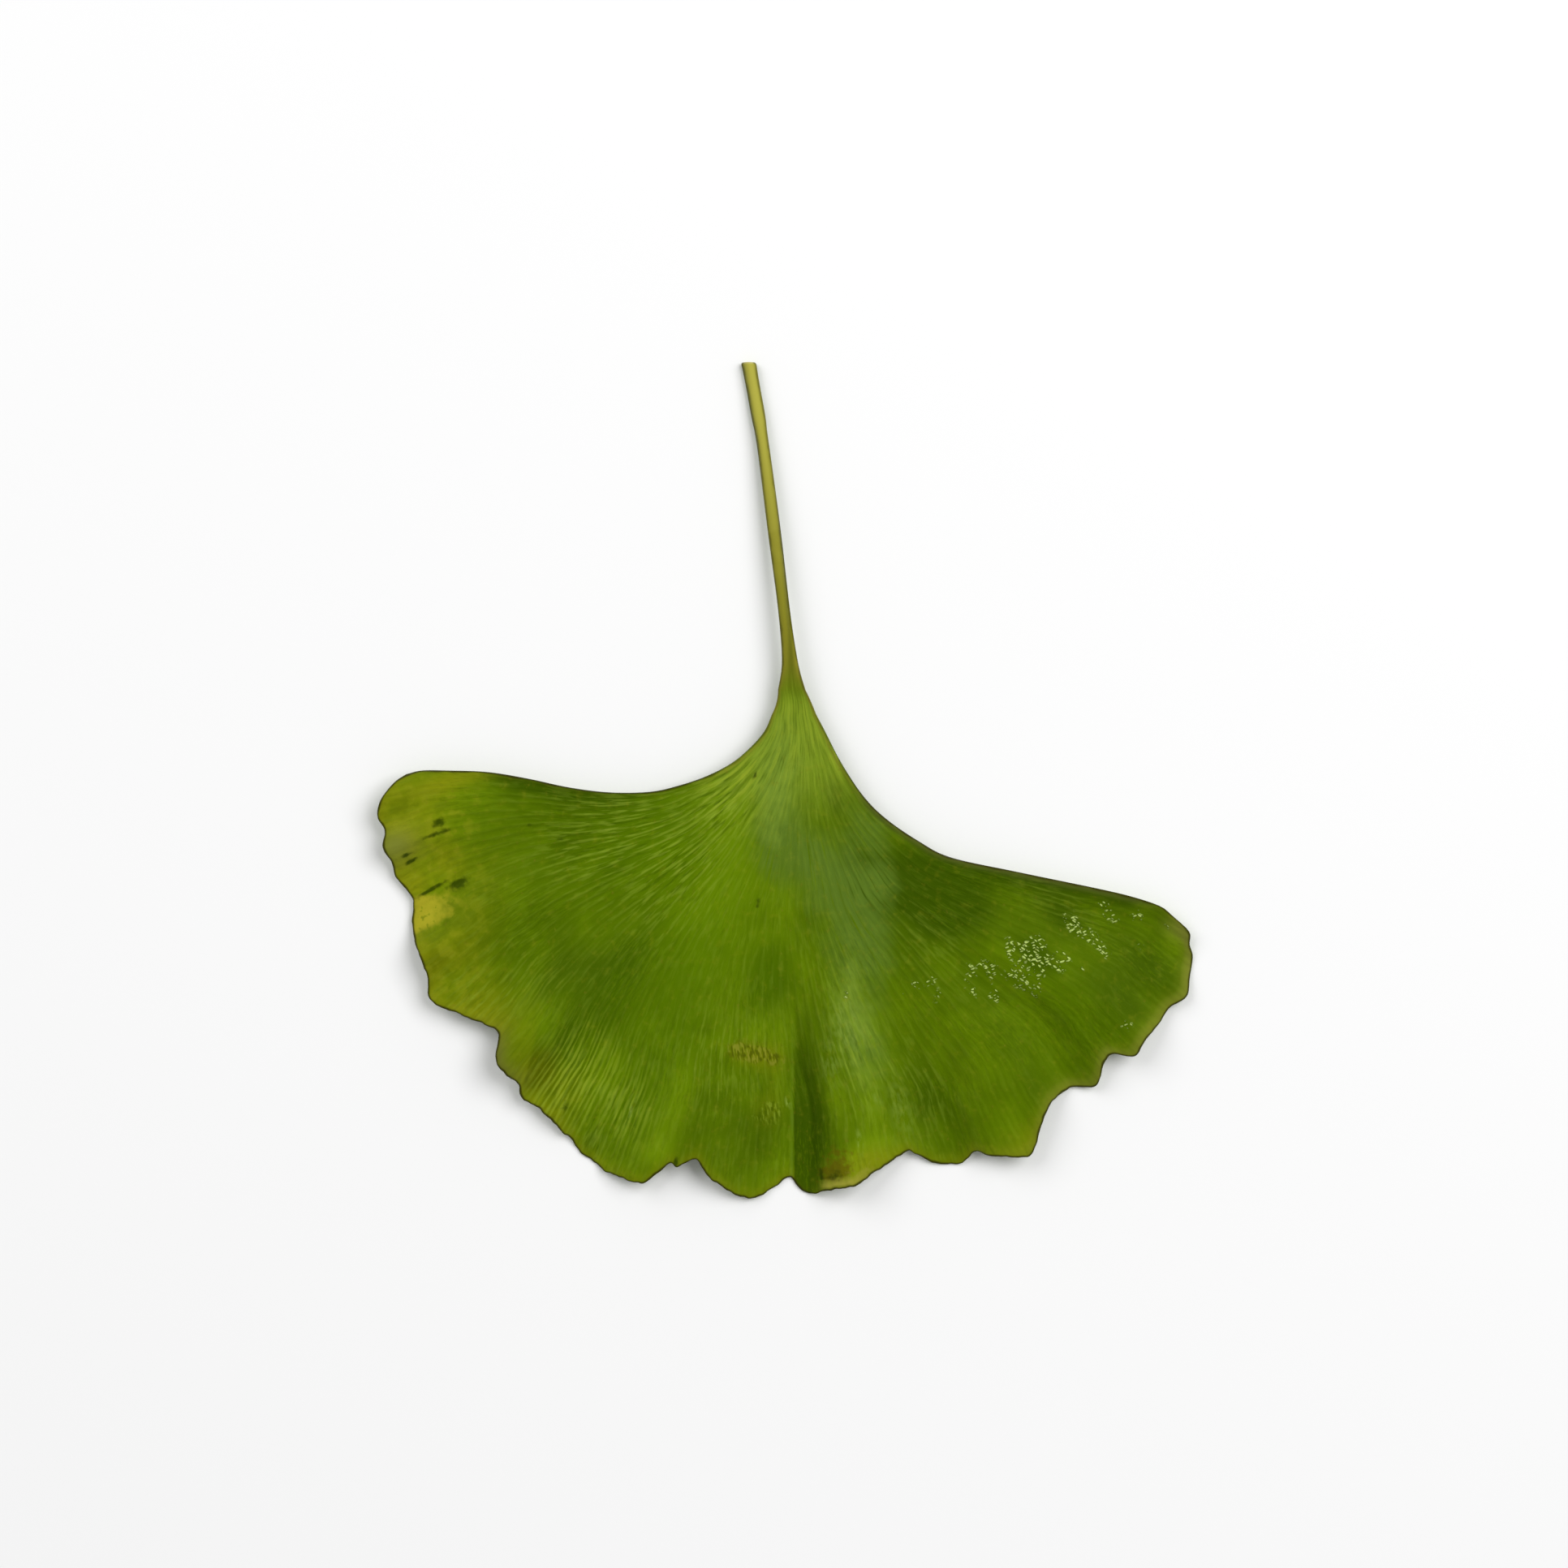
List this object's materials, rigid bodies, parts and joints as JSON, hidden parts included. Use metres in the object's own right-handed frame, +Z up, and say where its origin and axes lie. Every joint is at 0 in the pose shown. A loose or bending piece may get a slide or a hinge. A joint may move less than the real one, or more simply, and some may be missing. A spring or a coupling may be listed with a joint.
{
  "type": "ginkgo leaf",
  "caption": "Fan-shaped ginkgo leaf with forking ribs, a cut and gently folded margin and a slim petiole, lying top face up.",
  "frame": {"origin": "on the surface the leaf lies on, under the middle of its outline", "axes": "+Z up out of the leaf's top face, +Y from the fan's margin towards the petiole's end"},
  "size_m": [0.0806, 0.0828, 0.0041],
  "materials": {
    "leaf": "fresh green leaf with a soft satin sheen"
  },
  "bodies": {
    "root": {"ginkgo_leaf": "leaf"}
  },
  "joints": []
}
